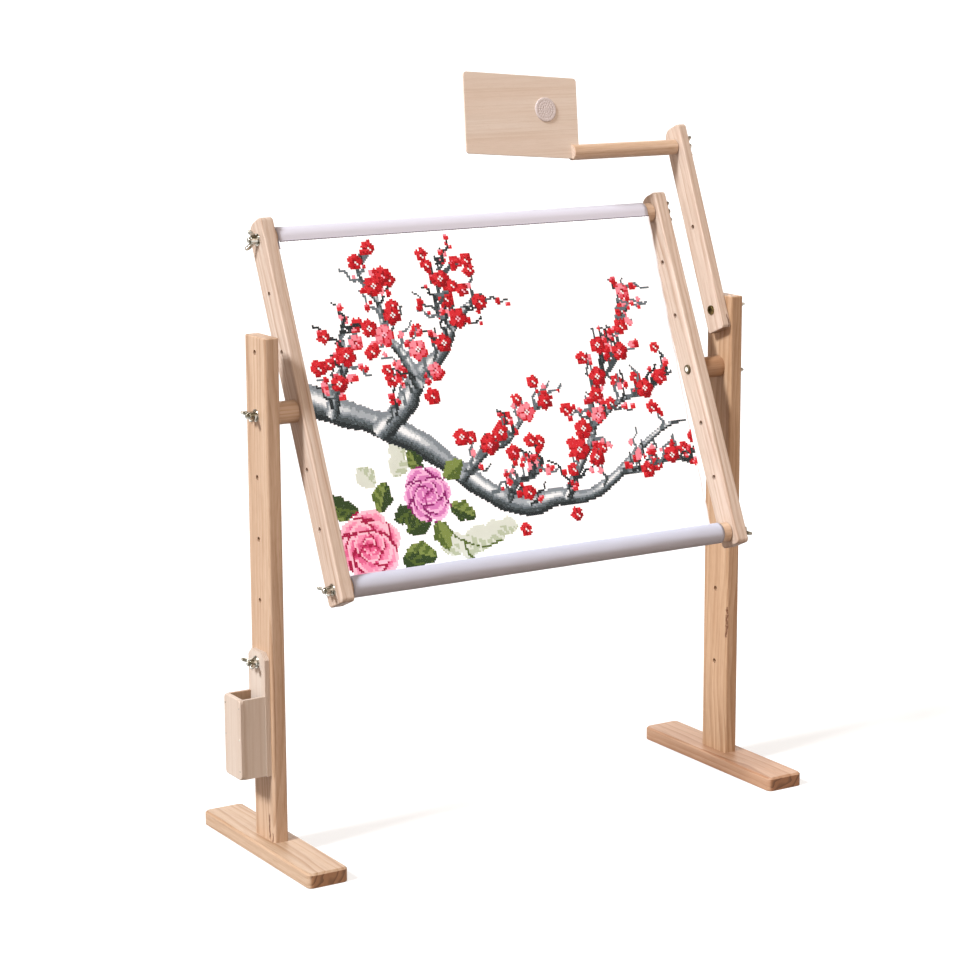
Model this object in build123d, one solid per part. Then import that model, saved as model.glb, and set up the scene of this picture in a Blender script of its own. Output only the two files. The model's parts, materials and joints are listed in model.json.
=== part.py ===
from build123d import *
import math
import os

# Scroll frame for cross-stitch on a two-post floor stand.
# Millimetres. X runs along the rods to the right, -Y is the stitcher's side, +Z is up.
# The origin is on the floor, midway between the posts and on their centre plane.

# Feet
FOOT_WIDTH = 68.0
FOOT_THICK = 23.0
FOOT_FRONT = -184.0
FOOT_BACK = 171.0
FOOT_CORNER_R = 9.0
FOOT_EDGE = 3.0

# Posts
POST_TOP = 800.0
POST_THICK = 24.0
POST_DEPTH = 66.0
POST_X = 427.0
POST_EDGE_R = 4.0
HOLE_DROP = 24.0
HOLE_PITCH = 94.5
LAST_HOLE_STEP = 126.0

# Fasteners: one bolt size throughout
BOLT_R = 4.0
HOLE_R = 4.08
NUT_BORE_R = 4.05
HEAD_R = 7.5
HEAD_THICK = 3.0
SOCKET_FLATS = 5.0
SOCKET_DEPTH = 2.0
WASHER_R = 9.5
WASHER_BORE_R = 4.3
WASHER_THICK = 1.6
NUT_BASE_R = 7.6
NUT_TOP_R = 5.8
NUT_HEIGHT = 11.0
WING_THICK = 3.2
BOLT_STUB = 3.5
SCREW_R = 2.4
SCREW_HEAD_R = 4.8
SCREW_LENGTH = 62.0
SCREW_SPACING = 34.0

# Working frame: rails, rods and cloth, built upright about the pivot and then leaned back
LEAN = 24.0
RAIL_X = 364.0
RAIL_THICK = 22.0
RAIL_DEPTH = 47.0
RAIL_HALF = 300.0
RAIL_TOP_BACK_R = 23.0
RAIL_CORNER_R = 7.0
RAIL_EDGE_R = 2.5
RAIL_PITCH = 92.0
SPACER_R = 17.5
FACE_GAP = 0.1
ROD_R = 16.0
ROLL_R = 17.0
TOP_ROD_UP = 271.0
BOTTOM_ROD_UP = -276.0
ROD_END_GAP = 0.5
STUD_DEPTH = 32.0
CLOTH_LEFT = -348.0
CLOTH_RIGHT = 336.0
CLOTH_THICK = 0.8
CLOTH_GAP = 0.3

# Chart holder: arm, dowel and board
ARM_LEAN = 22.4
ARM_THICK = 16.0
ARM_DEPTH = 44.0
ARM_ABOVE = 314.0
ARM_BELOW = 36.0
ARM_MID_HOLE = 142.0
ARM_ROD_HOLE = 280.7
ARM_TOP_BACK_R = 18.0
ARM_CORNER_R = 6.0
ARM_EDGE_R = 2.0
CHART_ROD_R = 12.5
CHART_ROD_LEFT = 193.0
CHART_SLOT = 20.0
BOARD_LEAN = 12.7
BOARD_TURN = 5.0
BOARD_WIDTH = 212.0
BOARD_HEIGHT = 131.0
BOARD_THICK = 3.0
BOARD_CORNER_R = 6.0
BOARD_IN_SLOT = 14.6
BOARD_BELOW_AXIS = 9.9
MAGNET_R = 19.5
MAGNET_THICK = 2.0
MAGNET_FROM_RIGHT = 61.0
MAGNET_UP = 77.3

# Tool box on the left post
BOX_HALF_DEPTH = 27.0
PLATE_THICK = 8.0
PLATE_TOP = 321.0
PLATE_CHAMFER = 10.0
BOX_OUT = 43.0
BOX_TOP = 255.5
BOX_BOTTOM = 129.0
BOX_WALL = 5.0
BOX_OUTER_WALL = 6.0
BOX_CORNER_R = 7.0

# Places worked out from the sizes above
HOLE_ZS = [POST_TOP - HOLE_DROP - i * HOLE_PITCH for i in range(6)]
HOLE_ZS.append(HOLE_ZS[5] - LAST_HOLE_STEP)
ARM_Z = HOLE_ZS[0]
PIVOT_Z = HOLE_ZS[1]
BOX_BOLT_Z = HOLE_ZS[5]
POST_INNER = POST_X - POST_THICK / 2
POST_OUTER = POST_X + POST_THICK / 2
RAIL_INNER = RAIL_X - RAIL_THICK / 2
RAIL_OUTER = RAIL_X + RAIL_THICK / 2
ARM_OUTER = POST_INNER - FACE_GAP
ARM_INNER = ARM_OUTER - ARM_THICK
PLATE_INNER = -POST_OUTER - FACE_GAP
PLATE_OUTER = PLATE_INNER - PLATE_THICK
BOX_OUTER = PLATE_OUTER - BOX_OUT


def x_cylinder(radius, x0, x1, y=0.0, z=0.0):
    """Cylinder along X from x0 to x1."""
    return Pos((x0 + x1) / 2, y, z) * Rot(0, 90, 0) * Cylinder(radius, abs(x1 - x0))


def block(x0, x1, y0, y1, z0, z1):
    """Box between two corners."""
    centre = Pos((x0 + x1) / 2, (y0 + y1) / 2, (z0 + z1) / 2)
    return centre * Box(abs(x1 - x0), abs(y1 - y0), abs(z1 - z0))


def mirrored(shape):
    """The same shape on the other side of the YZ plane."""
    return mirror(shape, about=Plane.YZ)


def leaned(shape):
    """Lean a shape of the working frame back about the pivot axis."""
    return Pos(0, 0, PIVOT_Z) * Rot(-LEAN, 0, 0) * shape


def arm_leaned(shape):
    """Lean a shape of the chart arm back about its bolt."""
    return Pos(0, 0, ARM_Z) * Rot(-ARM_LEAN, 0, 0) * shape


def board_placed(shape):
    """Move a shape from the board's own axes into the slot of the chart dowel."""
    end = Pos(CHART_ROD_LEFT, CHART_ROD_Y, CHART_ROD_Z)
    return end * Rot(-BOARD_LEAN, 0, 0) * Rot(0, BOARD_TURN, 0) * Pos(BOARD_IN_SLOT, 0, -BOARD_BELOW_AXIS) * shape


CHART_ROD_Y = ARM_ROD_HOLE * math.sin(math.radians(ARM_LEAN))
CHART_ROD_Z = ARM_Z + ARM_ROD_HOLE * math.cos(math.radians(ARM_LEAN))


# Fasteners. Each is built on the X axis, seated at x = 0 and pointing along +X.

def washer():
    """Flat washer with its back face at x = 0."""
    ring = x_cylinder(WASHER_R, 0, WASHER_THICK) - x_cylinder(WASHER_BORE_R, -1, WASHER_THICK + 1)
    return chamfer(ring.edges().filter_by(GeomType.CIRCLE).sort_by(SortBy.RADIUS)[-2:], 0.35)


def wing():
    """One upright wing, in the plane of the bolt axis, reaching along +Y."""
    outline = [(0.8, 5.0), (1.6, 7.0), (6.2, 12.6), (11.2, 17.2), (15.6, 17.6), (17.6, 14.4), (15.6, 10.8), (11.0, 8.0),
               (9.6, 4.5)]
    with BuildSketch(Plane.XY) as sketch:
        with BuildLine():
            Polyline(outline, close=True)
        make_face()
        tips = [v for v in sketch.vertices() if v.Y > 10]
        fillet(tips, 1.4)
    solid = extrude(sketch.sketch, WING_THICK / 2, both=True)
    return solid


def wing_nut():
    """Wing nut seated at x = 0: conical boss, two flared wings and a clear bore."""
    boss = Pos(NUT_HEIGHT / 2, 0, 0) * Rot(0, 90, 0) * Cone(NUT_BASE_R, NUT_TOP_R, NUT_HEIGHT)
    boss = fillet(boss.edges().filter_by(GeomType.CIRCLE), 0.8)
    body = boss + wing() + Rot(180, 0, 0) * wing()
    return body - x_cylinder(NUT_BORE_R, -1, NUT_HEIGHT + 8)


def headed_bolt(grip):
    """Bolt whose head lies in front of x = 0 and whose shank runs along +X past the nut."""
    end = grip + WASHER_THICK + NUT_HEIGHT + BOLT_STUB
    head = x_cylinder(HEAD_R, -HEAD_THICK, 0)
    head = fillet(head.edges().filter_by(GeomType.CIRCLE).sort_by(Axis.X)[0], 1.2)
    socket = Plane.YZ.offset(-HEAD_THICK - 0.01) * RegularPolygon(SOCKET_FLATS / 2, 6, major_radius=False)
    shank = x_cylinder(BOLT_R, 0, end)
    shank = chamfer(shank.edges().filter_by(GeomType.CIRCLE).sort_by(Axis.X)[-1], 0.8)
    return head + shank - extrude(socket, SOCKET_DEPTH)


def stud(depth, grip):
    """Headless stud from -depth inside a dowel to past its wing nut."""
    end = grip + WASHER_THICK + NUT_HEIGHT + BOLT_STUB
    rod = x_cylinder(BOLT_R, -depth, end)
    return chamfer(rod.edges().filter_by(GeomType.CIRCLE).sort_by(Axis.X)[-1], 0.8)


def foot_screw():
    """Countersunk screw, head down at z = 0, shank up."""
    head = Pos(0, 0, 1.5) * Cone(SCREW_HEAD_R, SCREW_R, 3.0)
    shank = Pos(0, 0, SCREW_LENGTH / 2) * Cylinder(SCREW_R, SCREW_LENGTH)
    cross = Pos(0, 0, 0.8) * (Box(5.0, 1.0, 1.7) + Box(1.0, 5.0, 1.7))
    return head + shank - cross


def screw_spots():
    """Positions of a foot's two screws along Y."""
    return [-SCREW_SPACING / 2, SCREW_SPACING / 2]


# Stand

def foot():
    """Right foot: flat board with rounded plan corners and a chamfered top edge."""
    board = block(POST_X - FOOT_WIDTH / 2, POST_X + FOOT_WIDTH / 2, FOOT_FRONT, FOOT_BACK, 0, FOOT_THICK)
    board = fillet(board.edges().filter_by(Axis.Z), FOOT_CORNER_R)
    board = chamfer(board.faces().sort_by(Axis.Z)[-1].edges(), FOOT_EDGE)
    board = chamfer(board.faces().sort_by(Axis.Z)[0].edges(), 1.0)
    for y in screw_spots():
        sink = Pos(POST_X, y, 1.5) * Cone(SCREW_HEAD_R, SCREW_R, 3.0)
        board -= Pos(POST_X, y, 0) * Cylinder(SCREW_R, 4 * FOOT_THICK) + sink
    return board


def post():
    """Right post: upright board with eased edges and seven bolt holes on its centre line."""
    board = block(POST_INNER, POST_OUTER, -POST_DEPTH / 2, POST_DEPTH / 2, FOOT_THICK, POST_TOP)
    board = fillet(board.edges().filter_by(Axis.Z), POST_EDGE_R)
    board = fillet(board.faces().sort_by(Axis.Z)[-1].edges(), 2.0)
    for z in HOLE_ZS:
        board -= x_cylinder(HOLE_R, POST_INNER - 1, POST_OUTER + 1, 0, z)
    for y in screw_spots():
        board -= Pos(POST_X, y, SCREW_LENGTH / 2) * Cylinder(SCREW_R, SCREW_LENGTH)
    return board


def foot_screws():
    """Two screws up through the right foot into its post."""
    return Compound([Pos(POST_X, y, 0) * foot_screw() for y in screw_spots()])


def spacer():
    """Turned dowel between the right post and rail."""
    ring = x_cylinder(SPACER_R, RAIL_OUTER + FACE_GAP, POST_INNER, 0, PIVOT_Z)
    return ring - x_cylinder(HOLE_R, RAIL_OUTER, POST_INNER + 1, 0, PIVOT_Z)


def post_washers():
    """Washers on the posts' outer faces: both pivots and the chart arm."""
    right = Pos(POST_OUTER, 0, PIVOT_Z) * washer()
    arm = Pos(POST_OUTER, 0, ARM_Z) * washer()
    return Compound([mirrored(right), right, arm])


def box_bolt():
    """Bolt through the left post that carries the tool box."""
    grip = POST_THICK + FACE_GAP + PLATE_THICK
    return mirrored(Pos(POST_INNER, 0, BOX_BOLT_Z) * headed_bolt(grip))


# Working frame

def side_plate(x0, x1, depth, low, high, top_back_r, corner_r, edge_r, holes):
    """Flat bar in the YZ plane: rounded ends, eased edges, bolt holes at the given heights."""
    bar = block(x0, x1, -depth / 2, depth / 2, low, high)
    ends = bar.edges().filter_by(Axis.X).sort_by(lambda e: e.center().Z * 1000 + e.center().Y)
    bar = fillet(ends[-1], top_back_r)
    ends = bar.edges().filter_by(Axis.X).sort_by(lambda e: e.center().Z * 1000 + e.center().Y)
    low_edges = [e for e in ends if e.center().Z < low + 0.01]
    top_front = [e for e in ends if e.center().Z > high - 0.01 and e.center().Y < -depth / 2 + 0.01]
    bar = fillet(low_edges + top_front, corner_r)
    bar = fillet(bar.faces().filter_by(Axis.X).edges(), edge_r)
    for height in holes:
        bar -= x_cylinder(HOLE_R, x0 - 1, x1 + 1, 0, height)
    return bar


def rail():
    """Right rail: seven holes, the middle one on the pivot and the end ones for the rods."""
    heights = [i * RAIL_PITCH for i in range(-2, 3)] + [BOTTOM_ROD_UP, TOP_ROD_UP]
    bar = side_plate(RAIL_INNER, RAIL_OUTER, RAIL_DEPTH, -RAIL_HALF, RAIL_HALF,
                     RAIL_TOP_BACK_R, RAIL_CORNER_R, RAIL_EDGE_R, heights)
    return leaned(bar)


def pivot_bolt():
    """Bolt with its head on the right rail's inner face, through the spacer and the post."""
    grip = POST_OUTER - RAIL_INNER
    return leaned(Pos(RAIL_INNER, 0, 0) * headed_bolt(grip))


def rail_washers():
    """Washers under the four rod nuts, on the rails' outer faces."""
    rings = []
    for height in (BOTTOM_ROD_UP, TOP_ROD_UP):
        right = Pos(RAIL_OUTER, 0, height) * washer()
        rings.append(leaned(right))
        rings.append(leaned(mirrored(right)))
    return Compound(rings)


def cloth_sheet():
    """Stretched cloth, from the front of the top roll to the back of the bottom roll."""
    middle = (TOP_ROD_UP + BOTTOM_ROD_UP) / 2
    apart = (TOP_ROD_UP - BOTTOM_ROD_UP) / 2
    reach = ROLL_R + CLOTH_GAP + CLOTH_THICK / 2
    tilt = math.degrees(math.asin(reach / apart))
    half = math.sqrt(apart**2 - reach**2)
    panel = block(CLOTH_LEFT, CLOTH_RIGHT, -CLOTH_THICK / 2, CLOTH_THICK / 2, -half, half)
    return leaned(Pos(0, 0, middle) * Rot(tilt, 0, 0) * panel)


def rod(height):
    """Dowel between the rails with a stud hole in each end."""
    reach = RAIL_INNER - ROD_END_GAP
    bar = x_cylinder(ROD_R, -reach, reach, 0, height)
    bar = chamfer(bar.edges().filter_by(GeomType.CIRCLE), 1.0)
    for side in (-1, 1):
        bar -= x_cylinder(BOLT_R, side * (reach - STUD_DEPTH), side * (reach + 1), 0, height)
    return leaned(bar)


def cloth_roll(height):
    """Cloth wound on a rod."""
    tube = x_cylinder(ROLL_R, CLOTH_LEFT, CLOTH_RIGHT, 0, height)
    return leaned(tube - x_cylinder(ROD_R, CLOTH_LEFT - 1, CLOTH_RIGHT + 1, 0, height))


def rod_studs(height):
    """The two studs of one rod."""
    reach = RAIL_INNER - ROD_END_GAP
    right = Pos(reach, 0, height) * stud(STUD_DEPTH, ROD_END_GAP + RAIL_THICK)
    return Compound([leaned(mirrored(right)), leaned(right)])


# Chart holder

def chart_arm():
    """Bar on the right post's inner face, with holes for its bolt, the dowel and a lower dowel place."""
    bar = side_plate(ARM_INNER, ARM_OUTER, ARM_DEPTH, -ARM_BELOW, ARM_ABOVE,
                     ARM_TOP_BACK_R, ARM_CORNER_R, ARM_EDGE_R, [0, ARM_MID_HOLE, ARM_ROD_HOLE])
    return arm_leaned(bar)


def arm_bolt():
    """Bolt with its head on the arm's inner face, through the arm and the right post."""
    grip = POST_OUTER - ARM_INNER
    return arm_leaned(Pos(ARM_INNER, 0, 0) * headed_bolt(grip))


def arm_washer():
    """Washer under the chart dowel's nut, on the arm's outer face."""
    return arm_leaned(Pos(ARM_OUTER, 0, ARM_ROD_HOLE) * washer())


def chart_dowel():
    """Dowel with a slot across its left end and a stud hole in its right end."""
    right = ARM_INNER - ROD_END_GAP
    bar = x_cylinder(CHART_ROD_R, CHART_ROD_LEFT, right)
    bar = chamfer(bar.edges().filter_by(GeomType.CIRCLE), 0.8)
    slot = block(-1, CHART_SLOT, -BOARD_THICK / 2 - 0.05, BOARD_THICK / 2 + 0.05, -2 * CHART_ROD_R, 2 * CHART_ROD_R)
    bar -= Pos(CHART_ROD_LEFT, 0, 0) * Rot(-BOARD_LEAN, 0, 0) * slot
    bar -= x_cylinder(BOLT_R, right - STUD_DEPTH, right + 1)
    return Pos(0, CHART_ROD_Y, CHART_ROD_Z) * bar


def chart_stud():
    """Stud from the chart dowel through the arm."""
    right = ARM_INNER - ROD_END_GAP
    return Pos(right, CHART_ROD_Y, CHART_ROD_Z) * stud(STUD_DEPTH, ROD_END_GAP + ARM_THICK)


def chart_board():
    """Thin board with rounded corners, its lower right corner held in the dowel's slot."""
    board = block(-BOARD_WIDTH, 0, -BOARD_THICK / 2, BOARD_THICK / 2, 0, BOARD_HEIGHT)
    board = fillet(board.edges().filter_by(Axis.Y), BOARD_CORNER_R)
    board = chamfer(board.faces().filter_by(Axis.Y).edges(), 0.4)
    return board_placed(board)


def chart_magnet():
    """Flat round magnet on the front of the chart board."""
    disc = Pos(-MAGNET_FROM_RIGHT, -BOARD_THICK / 2 - MAGNET_THICK / 2, MAGNET_UP) * Rot(90, 0, 0)
    disc = disc * Cylinder(MAGNET_R, MAGNET_THICK)
    front = disc.edges().filter_by(GeomType.CIRCLE).sort_by(Axis.Y)[0]
    return board_placed(chamfer(front, 0.6))


# Tool box

def box_back_plate():
    """Back plate with cut top corners, hung from its bolt on the left post."""
    plate = block(PLATE_OUTER, PLATE_INNER, -BOX_HALF_DEPTH, BOX_HALF_DEPTH, BOX_BOTTOM, PLATE_TOP)
    top = plate.edges().filter_by(Axis.X).sort_by(Axis.Z)[-2:]
    plate = chamfer(top, PLATE_CHAMFER)
    return plate - x_cylinder(HOLE_R, PLATE_OUTER - 1, PLATE_INNER + 1, 0, BOX_BOLT_Z)


def box_outer_panel():
    """Outer wall of the tool box, with rounded corners."""
    panel = block(BOX_OUTER, BOX_OUTER + BOX_OUTER_WALL, -BOX_HALF_DEPTH, BOX_HALF_DEPTH, BOX_BOTTOM, BOX_TOP)
    panel = fillet(panel.edges().filter_by(Axis.X), BOX_CORNER_R)
    return chamfer(panel.faces().sort_by(Axis.X)[0].edges(), 1.2)


def box_side_panel(side):
    """Front (side -1) or rear (side 1) wall, between the outer wall and the back plate."""
    y0 = side * (BOX_HALF_DEPTH - 1.0)
    y1 = y0 - side * BOX_WALL
    return block(BOX_OUTER + BOX_OUTER_WALL, PLATE_OUTER, y0, y1, BOX_BOTTOM + 1, BOX_TOP - 1)


def box_bottom():
    """Floor of the tool box, between its four walls."""
    y = BOX_HALF_DEPTH - 1.0 - BOX_WALL
    return block(BOX_OUTER + BOX_OUTER_WALL, PLATE_OUTER, -y, y, BOX_BOTTOM + 1, BOX_BOTTOM + 1 + BOX_WALL)


def box_washer():
    """Washer on the back plate under the tool box's nut."""
    return Pos(PLATE_OUTER, 0, BOX_BOLT_Z) * Rot(0, 0, 180) * washer()


# Wing nuts: seat position, side it points to and turn of the wings about X

def placed_nut(x, y, z, side, turn):
    """Wing nut at a seat, pointing along side * X, with its wings turned from the Y axis."""
    facing = Rot(0, 0, 0) if side > 0 else Rot(0, 0, 180)
    return Pos(x, y, z) * Rot(turn, 0, 0) * facing * wing_nut()


def frame_point(height):
    """Y and Z of a point on the leaned rail's centre line."""
    angle = math.radians(LEAN)
    return height * math.sin(angle), PIVOT_Z + height * math.cos(angle)


def wing_nuts():
    """Every wing nut by name."""
    post_seat = POST_OUTER + WASHER_THICK
    rail_seat = RAIL_OUTER + WASHER_THICK
    top_y, top_z = frame_point(TOP_ROD_UP)
    low_y, low_z = frame_point(BOTTOM_ROD_UP)
    return {
        "left_pivot_nut": placed_nut(-post_seat, 0, PIVOT_Z, -1, 16),
        "right_pivot_nut": placed_nut(post_seat, 0, PIVOT_Z, 1, 35),
        "top_left_nut": placed_nut(-rail_seat, top_y, top_z, -1, 112),
        "top_right_nut": placed_nut(rail_seat, top_y, top_z, 1, 70),
        "bottom_left_nut": placed_nut(-rail_seat, low_y, low_z, -1, 8),
        "bottom_right_nut": placed_nut(rail_seat, low_y, low_z, 1, 20),
        "arm_nut": placed_nut(post_seat, 0, ARM_Z, 1, -30),
        "chart_nut": placed_nut(ARM_OUTER + WASHER_THICK, CHART_ROD_Y, CHART_ROD_Z, 1, 80),
        "box_nut": placed_nut(PLATE_OUTER - WASHER_THICK, 0, BOX_BOLT_Z, -1, 12),
    }


def all_nodes():
    """Every separate piece, by node name."""
    nodes = {
        "left_foot": mirrored(foot()),
        "right_foot": foot(),
        "left_post": mirrored(post()),
        "right_post": post(),
        "left_foot_screws": mirrored(foot_screws()),
        "right_foot_screws": foot_screws(),
        "left_spacer": mirrored(spacer()),
        "right_spacer": spacer(),
        "post_washers": post_washers(),
        "box_bolt": box_bolt(),
        "left_rail": mirrored(rail()),
        "right_rail": rail(),
        "left_pivot_bolt": mirrored(pivot_bolt()),
        "right_pivot_bolt": pivot_bolt(),
        "rail_washers": rail_washers(),
        "cloth_sheet": cloth_sheet(),
        "top_rod": rod(TOP_ROD_UP),
        "top_cloth_roll": cloth_roll(TOP_ROD_UP),
        "top_rod_studs": rod_studs(TOP_ROD_UP),
        "bottom_rod": rod(BOTTOM_ROD_UP),
        "bottom_cloth_roll": cloth_roll(BOTTOM_ROD_UP),
        "bottom_rod_studs": rod_studs(BOTTOM_ROD_UP),
        "chart_arm": chart_arm(),
        "arm_bolt": arm_bolt(),
        "arm_washer": arm_washer(),
        "chart_dowel": chart_dowel(),
        "chart_stud": chart_stud(),
        "chart_board": chart_board(),
        "chart_magnet": chart_magnet(),
        "box_back_plate": box_back_plate(),
        "box_outer_panel": box_outer_panel(),
        "box_front_panel": box_side_panel(-1),
        "box_rear_panel": box_side_panel(1),
        "box_bottom": box_bottom(),
        "box_washer": box_washer(),
    }
    nodes.update(wing_nuts())
    return nodes


os.makedirs("parts", exist_ok=True)
for node_name, node_shape in all_nodes().items():
    export_step(node_shape, f"parts/{node_name}.step")
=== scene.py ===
import json
import math
import random

import bmesh
import bpy
import numpy as np
from mathutils import Matrix, Vector

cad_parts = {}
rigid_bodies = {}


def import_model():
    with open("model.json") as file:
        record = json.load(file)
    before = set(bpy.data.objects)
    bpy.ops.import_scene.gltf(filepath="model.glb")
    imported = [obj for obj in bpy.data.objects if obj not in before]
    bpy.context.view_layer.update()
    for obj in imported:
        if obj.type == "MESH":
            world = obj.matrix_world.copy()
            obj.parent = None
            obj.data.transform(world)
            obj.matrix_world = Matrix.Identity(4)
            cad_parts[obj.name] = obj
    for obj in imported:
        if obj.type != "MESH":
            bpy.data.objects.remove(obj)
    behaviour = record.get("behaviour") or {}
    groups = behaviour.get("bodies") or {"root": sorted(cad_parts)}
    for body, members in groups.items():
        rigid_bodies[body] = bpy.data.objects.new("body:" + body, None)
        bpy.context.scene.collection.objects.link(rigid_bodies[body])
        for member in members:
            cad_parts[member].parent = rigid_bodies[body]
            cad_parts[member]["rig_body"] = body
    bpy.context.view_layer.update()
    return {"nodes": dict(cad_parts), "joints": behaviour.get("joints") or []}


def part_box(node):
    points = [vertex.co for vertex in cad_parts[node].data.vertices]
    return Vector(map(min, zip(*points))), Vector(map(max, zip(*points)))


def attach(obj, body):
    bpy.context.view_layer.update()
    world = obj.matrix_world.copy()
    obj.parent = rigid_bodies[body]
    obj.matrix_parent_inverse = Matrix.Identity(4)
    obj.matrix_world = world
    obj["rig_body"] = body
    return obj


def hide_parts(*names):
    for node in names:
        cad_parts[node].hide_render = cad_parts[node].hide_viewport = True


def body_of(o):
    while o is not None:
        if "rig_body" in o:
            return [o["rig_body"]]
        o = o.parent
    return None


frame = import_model()
NODES = frame["nodes"]
JOINTS = {joint["name"]: joint for joint in frame["joints"]}
MM = 0.001
SEED = 20448
rng = np.random.default_rng(SEED)
random.seed(SEED)


# ---------------------------------------------------------------- geometry of the leaned frame

def joint_point(name):
    return Vector(JOINTS[name]["pos_m"])


PIVOT = joint_point("frame_tilt")
TOP_AXIS = joint_point("top_roller_turn")
LOW_AXIS = joint_point("bottom_roller_turn")
UP_RAIL = (TOP_AXIS - LOW_AXIS).normalized()
LEAN = math.atan2(UP_RAIL.y, UP_RAIL.z)
RAIL_FRONT = Vector((0, -math.cos(LEAN), math.sin(LEAN)))
ROLL_R = 17.0 * MM
SHEET_REACH = 17.7 * MM
_apart = (TOP_AXIS - LOW_AXIS).length / 2
_phi = math.asin(SHEET_REACH / _apart)
SHEET_UP = UP_RAIL * math.cos(_phi) + RAIL_FRONT * math.sin(_phi)
SHEET_FRONT = RAIL_FRONT * math.cos(_phi) - UP_RAIL * math.sin(_phi)
SHEET_HALF = math.sqrt(_apart**2 - SHEET_REACH**2)
SHEET_MIDDLE = Vector((0, (TOP_AXIS.y + LOW_AXIS.y) / 2, (TOP_AXIS.z + LOW_AXIS.z) / 2))
SHEET_LOW, SHEET_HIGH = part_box("cloth_sheet")
SHEET_X0, SHEET_X1 = SHEET_LOW.x, SHEET_HIGH.x
SHEET_LEAN = math.atan2(SHEET_UP.y, SHEET_UP.z)
SEAM_BELOW_TOP = 9.0 * MM


def sheet_wave(x, s):
    """Small out-of-plane ripple of the stretched cloth, in metres."""
    edge = np.exp(-((x - SHEET_X0) / 0.03) ** 2) + np.exp(-((SHEET_X1 - x) / 0.03) ** 2)
    broad = 0.35 * MM * np.sin(x * 9.0 + 1.2) * np.sin(s * 6.5 + 0.4)
    free = np.clip((SHEET_HALF - 0.012 - np.abs(s)) / 0.06, 0, 1)
    return free * (broad + 0.5 * MM * edge * np.sin(s * 70.0))


def sheet_points(x, s, n):
    """Points of the cloth: x along X, s up from its middle, n towards the front. Arrays or numbers."""
    x, s, n = np.broadcast_arrays(np.asarray(x, float), np.asarray(s, float), np.asarray(n, float))
    n = n + sheet_wave(x, s)
    y = SHEET_MIDDLE.y + s * SHEET_UP.y + n * SHEET_FRONT.y
    z = SHEET_MIDDLE.z + s * SHEET_UP.z + n * SHEET_FRONT.z
    return np.stack([x, y, z], -1)


# ---------------------------------------------------------------- materials

KEY_GAIN = 1.45


def srgb(r, g, b):
    """Linear colour of an 8-bit screen colour."""
    def channel(v):
        v = v / 255
        return v / 12.92 if v <= 0.04045 else ((v + 0.055) / 1.055) ** 2.4
    return (channel(r), channel(g), channel(b), 1.0)


def lit(r, g, b):
    """Base colour that shows as this screen colour on a face turned to the key light."""
    return dimmed(srgb(r, g, b), 1 / KEY_GAIN)


def dimmed(colour, share):
    """The same colour, darker or lighter."""
    return tuple(min(1.0, c * share) for c in colour[:3]) + (1.0,)


class Graph:
    """Builds one node material, or the nodes of a given world."""

    def __init__(self, name, owner=None):
        self.material = owner or bpy.data.materials.new(name)
        self.material.use_nodes = True
        self.tree = self.material.node_tree
        self.tree.nodes.clear()

    def add(self, kind, inputs=None, **props):
        node = self.tree.nodes.new("ShaderNode" + kind)
        for key, value in props.items():
            setattr(node, key, value)
        for key, value in (inputs or {}).items():
            if isinstance(value, bpy.types.NodeSocket):
                self.tree.links.new(value, node.inputs[key])
            else:
                node.inputs[key].default_value = value
        return node

    def math(self, operation, a, b=0.0):
        return self.add("Math", {0: a, 1: b}, operation=operation).outputs[0]

    def times(self, a, b):
        return self.math("MULTIPLY", a, b)

    def plus(self, a, b):
        return self.math("ADD", a, b)

    def vector(self, operation, a, b=(0, 0, 0)):
        node = self.add("VectorMath", {0: a, 1: b}, operation=operation)
        return node.outputs["Value" if operation == "LENGTH" else "Vector"]

    def scaled(self, vector, scale):
        return self.vector("MULTIPLY", vector, scale)

    def part(self, vector, axis):
        return self.add("SeparateXYZ", {0: vector}).outputs[axis]

    def turned(self, vector, turn):
        return self.add("VectorRotate", {"Vector": vector, "Rotation": turn}, rotation_type="EULER_XYZ").outputs[0]

    def mix(self, factor, a, b, blend="MIX"):
        node = self.add("Mix", {0: factor, 6: a, 7: b}, data_type="RGBA", blend_type=blend)
        return node.outputs[2]

    def span(self, value, low, high, to_low=0.0, to_high=1.0):
        node = self.add("MapRange", {0: value, 1: low, 2: high, 3: to_low, 4: to_high})
        return node.outputs[0]

    def ramp(self, factor, stops):
        node = self.add("ValToRGB", {0: factor})
        elements = node.color_ramp.elements
        while len(elements) < len(stops):
            elements.new(0.5)
        for element, (position, colour) in zip(elements, stops):
            element.position = position
            element.color = colour
        return node.outputs[0]

    def stain(self, base, amount, pattern, low, high, dark, light=(1.0, 1.0, 1.0)):
        """Multiplies a colour by a pattern that runs from dark, at low, to light, at high."""
        tones = self.ramp(pattern, [(low, dark + (1,)), (high, light + (1,))])
        return self.mix(amount, base, tones, "MULTIPLY")

    def noise(self, vector, scale, detail=2.0, roughness=0.5):
        """Noise of a vector stretched by one number, or by three."""
        scale = scale if isinstance(scale, tuple) else (scale, scale, scale)
        inputs = {"Vector": self.scaled(vector, scale), "Scale": 1.0, "Detail": detail, "Roughness": roughness}
        return self.add("TexNoise", inputs).outputs[0]

    def place(self):
        return self.add("TexCoord").outputs["Object"]

    def finish(self, colour, roughness, height=None, depth=0.2, distance=0.0005, **sockets):
        inputs = {"Base Color": colour, "Roughness": roughness}
        for key, value in sockets.items():
            inputs[key.replace("_", " ")] = value
        if height is not None:
            bump = self.add("Bump", {"Strength": depth, "Distance": distance, "Height": height})
            inputs["Normal"] = bump.outputs[0]
        shader = self.add("BsdfPrincipled", inputs)
        output = self.add("OutputMaterial")
        self.tree.links.new(shader.outputs[0], output.inputs[0])
        return self.material


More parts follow.
